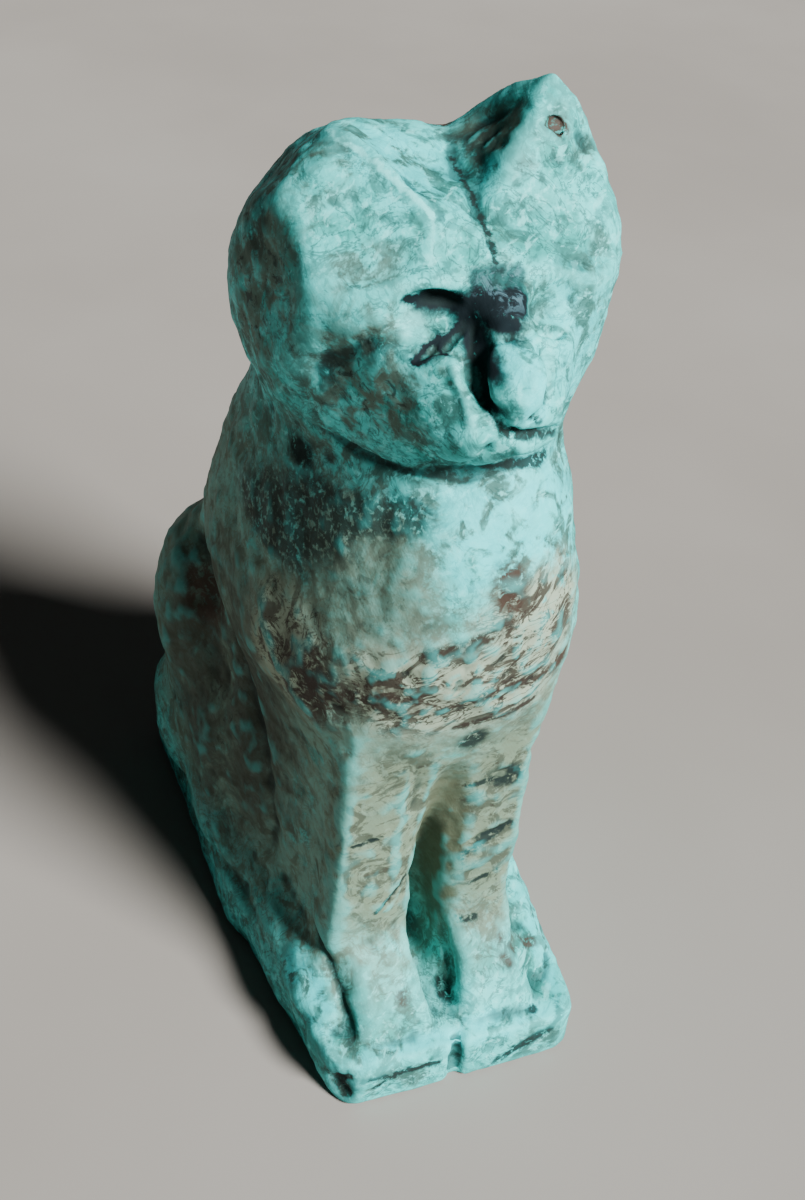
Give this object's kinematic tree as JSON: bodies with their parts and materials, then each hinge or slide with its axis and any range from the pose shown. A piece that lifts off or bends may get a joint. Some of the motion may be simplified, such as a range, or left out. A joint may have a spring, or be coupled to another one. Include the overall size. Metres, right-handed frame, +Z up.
{
  "type": "cat figure",
  "caption": "Small seated cat in worn turquoise stone with upright ears, front legs together and the hind feet along a low tapering plinth.",
  "frame": {"origin": "middle of the figure's footprint, on the flat underside of the plinth", "axes": "+Z up, the cat faces -Y, its right side is towards -X"},
  "size_m": [0.024, 0.038, 0.0597],
  "materials": {
    "stone": "worn, softly polished turquoise stone with brown veins"
  },
  "bodies": {
    "root": {"cat_figure": "stone"}
  },
  "joints": []
}
